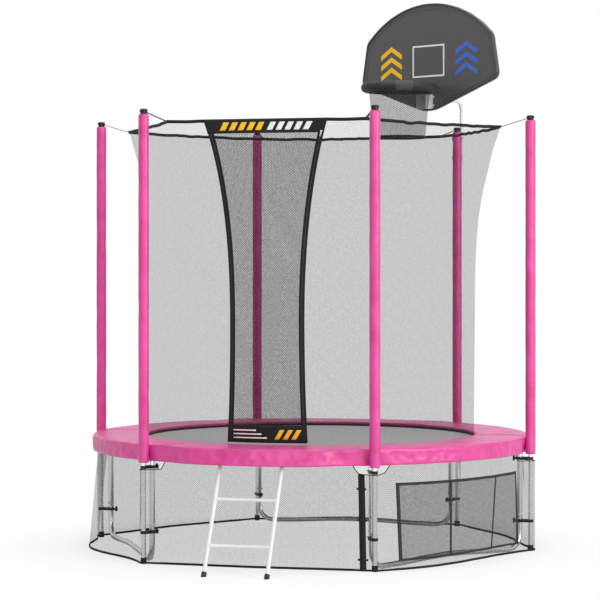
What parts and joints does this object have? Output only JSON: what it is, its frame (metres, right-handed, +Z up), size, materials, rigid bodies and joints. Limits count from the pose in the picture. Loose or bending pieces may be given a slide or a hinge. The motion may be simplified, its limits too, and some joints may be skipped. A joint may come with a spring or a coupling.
{
  "type": "trampoline",
  "caption": "Round garden trampoline on W-shaped legs with sleeved poles, safety net and zip door, ground skirt, ladder and basketball hoop.",
  "frame": {"origin": "on the ground under the middle of the whole assembly, ladder included", "axes": "+Z up; -Y towards the doorway and ladder; the trampoline's own axis stands 0.149 m behind the origin"},
  "size_m": [2.577, 2.7546, 3.146],
  "materials": {
    "steel": "galvanised tube, satin",
    "sleeve_vinyl": "pink vinyl over foam",
    "pad_vinyl": "pink vinyl over foam",
    "black_plastic": "black moulding",
    "mat_weave": "woven plastic",
    "netting": "fine knitted net",
    "pocket_netting": "double net",
    "white_paint": "white powder coat",
    "board_plastic": "fine grain",
    "rim_foam": "foam with a vinyl skin"
  },
  "bodies": {
    "frame": {"frame_segment_1": "steel", "frame_segment_2": "steel", "frame_segment_3": "steel", "frame_segment_4": "steel", "frame_segment_5": "steel", "frame_segment_6": "steel", "w_leg_1": "steel", "w_leg_2": "steel", "w_leg_3": "steel", "pole_1": "steel", "pole_2": "steel", "pole_3": "steel", "pole_4": "steel", "pole_5": "steel", "pole_6": "steel", "pole_sleeve_1": "sleeve_vinyl", "pole_sleeve_2": "sleeve_vinyl", "pole_sleeve_3": "sleeve_vinyl", "pole_sleeve_4": "sleeve_vinyl", "pole_sleeve_5": "sleeve_vinyl", "pole_sleeve_6": "sleeve_vinyl", "pole_cap_1": "black_plastic", "pole_cap_2": "black_plastic", "pole_cap_3": "black_plastic", "pole_cap_4": "black_plastic", "pole_cap_5": "black_plastic", "pole_cap_6": "black_plastic", "pole_foot_1": "black_plastic", "pole_foot_2": "black_plastic", "pole_foot_3": "black_plastic", "pole_foot_4": "black_plastic", "pole_foot_5": "black_plastic", "pole_foot_6": "black_plastic", "upper_clamp_1": "black_plastic", "upper_clamp_2": "black_plastic", "upper_clamp_3": "black_plastic", "upper_clamp_4": "black_plastic", "upper_clamp_5": "black_plastic", "upper_clamp_6": "black_plastic", "lower_clamp_1": "black_plastic", "lower_clamp_2": "black_plastic", "lower_clamp_3": "black_plastic", "lower_clamp_4": "black_plastic", "lower_clamp_5": "black_plastic", "lower_clamp_6": "black_plastic", "pad": "pad_vinyl", "enclosure_net": "netting", "skirt_net": "netting", "skirt_pocket": "pocket_netting", "backboard": "board_plastic", "rim": "rim_foam", "hoop_net": "netting", "hoop_arm": "steel", "rim_bracket": "steel"},
    "bed": {"mat": "mat_weave", "springs": "steel"},
    "door": {"door_flap": "netting"},
    "ladder": {"ladder": "white_paint", "ladder_foot_left": "black_plastic", "ladder_foot_right": "black_plastic"}
  },
  "joints": [
    {"name": "mat_bounce", "type": "slide", "parent": "frame", "child": "bed", "axis": [0, 0, 1], "range_m": [-0.25, 0], "stiffness_N_per_m": 5500, "springref_m": 0.02, "deforming": ["springs"]},
    {"name": "door_swing", "type": "hinge", "parent": "frame", "child": "door", "pos_m": [0.18975, -0.764, 1.27], "axis": [0, 0, 1], "range_deg": [0, 90]},
    {"name": "ladder_swing", "type": "hinge", "parent": "frame", "child": "ladder", "pos_m": [0, -1.03999, 0.592], "axis": [-1, 0, 0], "range_deg": [0, 6]}
  ]
}
